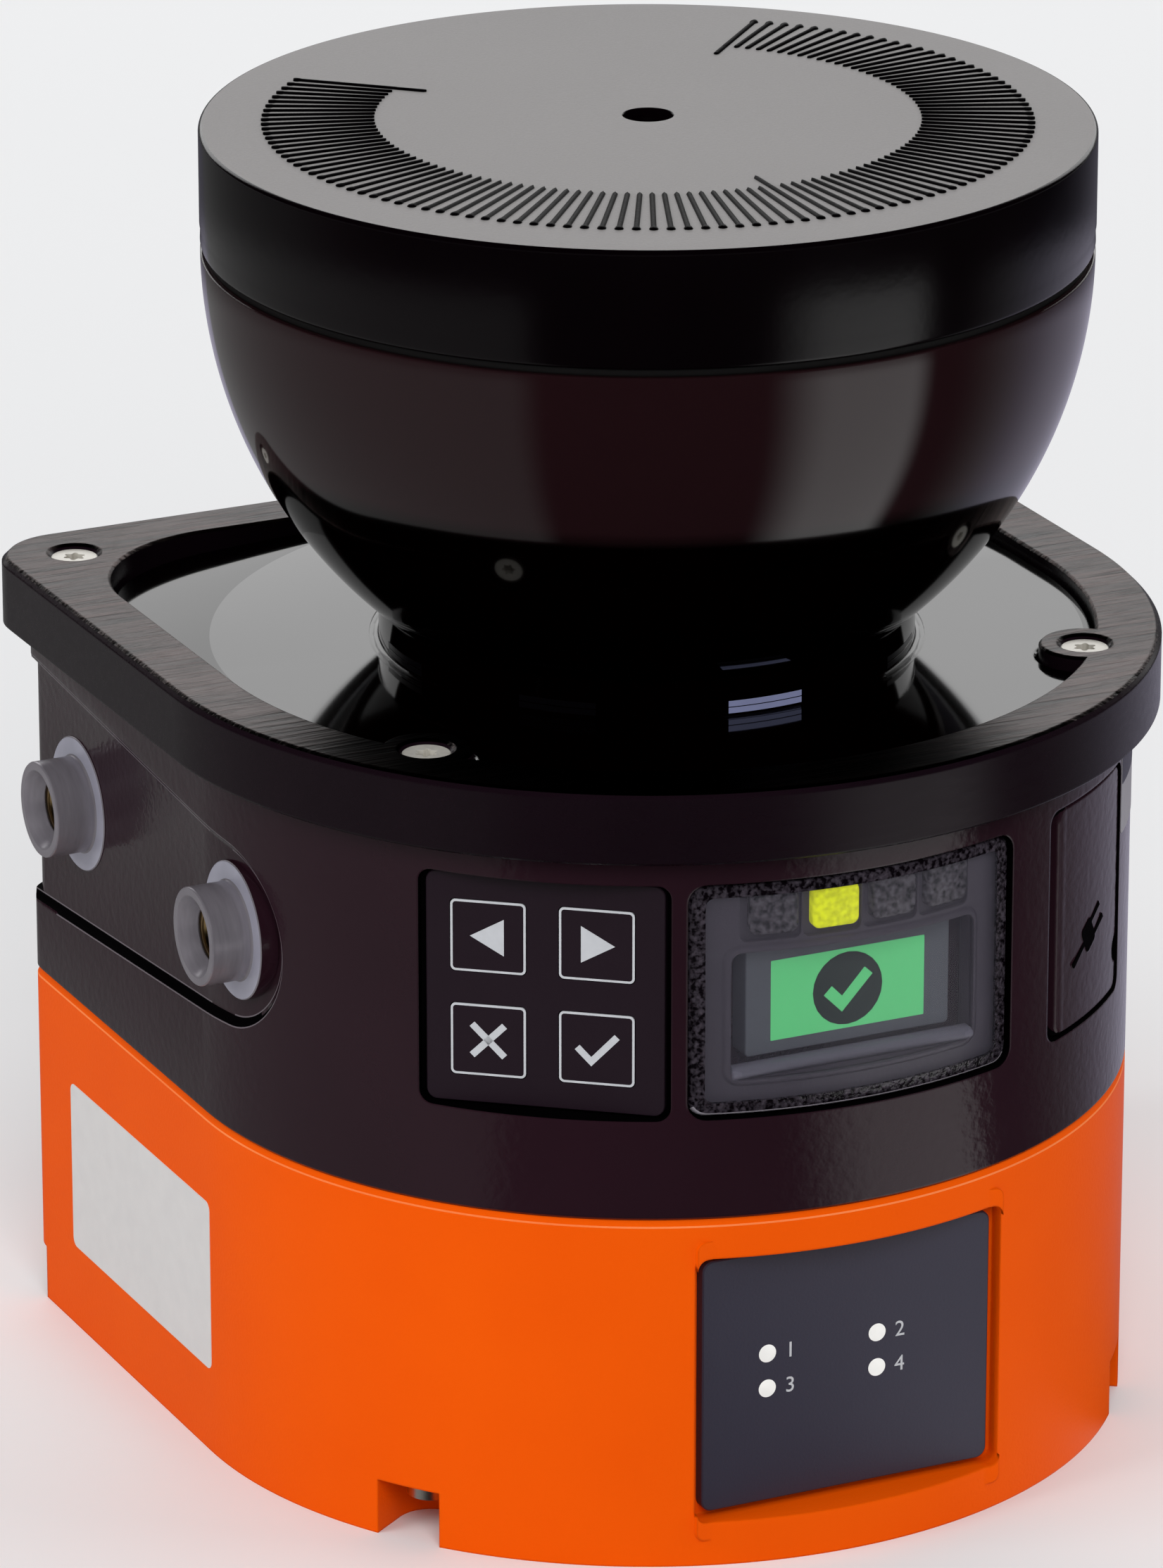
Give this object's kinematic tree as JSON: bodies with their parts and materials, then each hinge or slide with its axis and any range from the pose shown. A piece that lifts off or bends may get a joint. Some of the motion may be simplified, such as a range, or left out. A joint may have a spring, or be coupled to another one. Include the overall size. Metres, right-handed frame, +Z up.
{
  "type": "safety laser scanner",
  "caption": "Compact safety laser scanner: round scan head on a dark bowl-shaped optics cover, D-shaped housing with display, keypad and service cover, and an orange connection base",
  "frame": {"origin": "middle of the scan head's axis on the base's underside", "axes": "+Z up along the axis of the scan head; the front with the display and keypad faces -Y; +X is on the right of a viewer who faces the front"},
  "size_m": [0.114, 0.111, 0.1458],
  "materials": {
    "orange_plastic": "fine-grained orange housing plastic",
    "black_plastic": "glossy black plastic with a fine texture",
    "dark_plastic": "matt dark plastic",
    "plate_metal": "satin brushed dark metal",
    "optics_plastic": "glossy, nearly black infrared-clear plastic",
    "cap_plastic": "glossy black plastic with a finely grained grey top face",
    "clear_plastic": "clear moulded plastic",
    "panel_plastic": "dark printed panel",
    "key_plastic": "dark key with light outline and symbol",
    "screen_green": "green lit screen in a light frame",
    "lens_plastic": "grained dark signal lenses, one lit yellow",
    "light_plastic": "milky light guide",
    "screw_steel": "bright zinc-plated steel",
    "bush_metal": "turned light metal",
    "insert_brass": "turned brass",
    "seal_rubber": "black rubber",
    "board_green": "green circuit board",
    "connector_metal": "nickel-plated metal",
    "inner_metal": "bare aluminium",
    "copper": "enamelled copper",
    "lens_glass": "coated optical glass",
    "mirror_glass": "mirror coating"
  },
  "bodies": {
    "housing": {"base_housing": "orange_plastic", "bottom_plate": "dark_plastic", "bottom_screws": "screw_steel", "base_screws": "screw_steel", "base_seal": "seal_rubber", "indicator_panel": "panel_plastic", "indicator_lights": "light_plastic", "indicator_board": "board_green", "network_board": "board_green", "network_board_screws": "screw_steel", "link_plug": "dark_plastic", "link_socket": "dark_plastic", "power_connector": "connector_metal", "power_contacts": "dark_plastic", "network_connector": "connector_metal", "network_contacts": "dark_plastic", "main_housing": "black_plastic", "side_bushes": "bush_metal", "threaded_inserts": "insert_brass", "display_cover": "clear_plastic", "display_bezel": "dark_plastic", "display_screen": "screen_green", "status_lenses": "lens_plastic", "keypad_panel": "panel_plastic", "keypad_board": "board_green", "hinge_pin": "screw_steel", "service_socket": "connector_metal", "control_board": "board_green", "board_spacers": "insert_brass", "chassis_plate": "inner_metal", "chassis_screws": "screw_steel", "lens_barrel": "dark_plastic", "receiver_lens": "lens_glass", "laser_module": "insert_brass", "receiver_board": "board_green", "status_light_board": "board_green", "clamp_plate": "plate_metal", "clamp_screws": "screw_steel", "optics_cover": "optics_plastic", "optics_seal": "seal_rubber", "neck_lights": "light_plastic", "head_cap": "cap_plastic", "cap_seal": "seal_rubber", "motor_bracket": "inner_metal", "motor_can": "inner_metal", "motor_windings": "copper", "lower_bearing": "screw_steel", "upper_bearing": "screw_steel", "encoder_reader": "dark_plastic"},
    "mirror_rotor": {"motor_shaft": "screw_steel", "rotor_magnet": "dark_plastic", "encoder_disc": "inner_metal", "mirror_carrier": "dark_plastic", "scan_mirror": "mirror_glass"},
    "key_left": {"key_left": "key_plastic"},
    "key_right": {"key_right": "key_plastic"},
    "key_cancel": {"key_cancel": "key_plastic"},
    "key_confirm": {"key_confirm": "key_plastic"},
    "service_door": {"service_cover": "black_plastic"}
  },
  "joints": [
    {"name": "mirror_spin", "type": "hinge", "parent": "housing", "child": "mirror_rotor", "pos_m": [0, 0, 0.111], "axis": [0, 0, 1], "continuous": true},
    {"name": "key_left_press", "type": "slide", "parent": "housing", "child": "key_left", "axis": [0.6129, 0.7901, 0], "range_m": [0, 0.0004], "stiffness_N_per_m": 2000, "springref_m": -0.0002},
    {"name": "key_right_press", "type": "slide", "parent": "housing", "child": "key_right", "axis": [0.6129, 0.7901, 0], "range_m": [0, 0.0004], "stiffness_N_per_m": 2000, "springref_m": -0.0002},
    {"name": "key_cancel_press", "type": "slide", "parent": "housing", "child": "key_cancel", "axis": [0.6129, 0.7901, 0], "range_m": [0, 0.0004], "stiffness_N_per_m": 2000, "springref_m": -0.0002},
    {"name": "key_confirm_press", "type": "slide", "parent": "housing", "child": "key_confirm", "axis": [0.6129, 0.7901, 0], "range_m": [0, 0.0004], "stiffness_N_per_m": 2000, "springref_m": -0.0002},
    {"name": "service_cover_hinge", "type": "hinge", "parent": "housing", "child": "service_door", "pos_m": [0.02689, -0.04386, 0.0645], "axis": [0, 0, -1], "range_deg": [0, 100]}
  ]
}
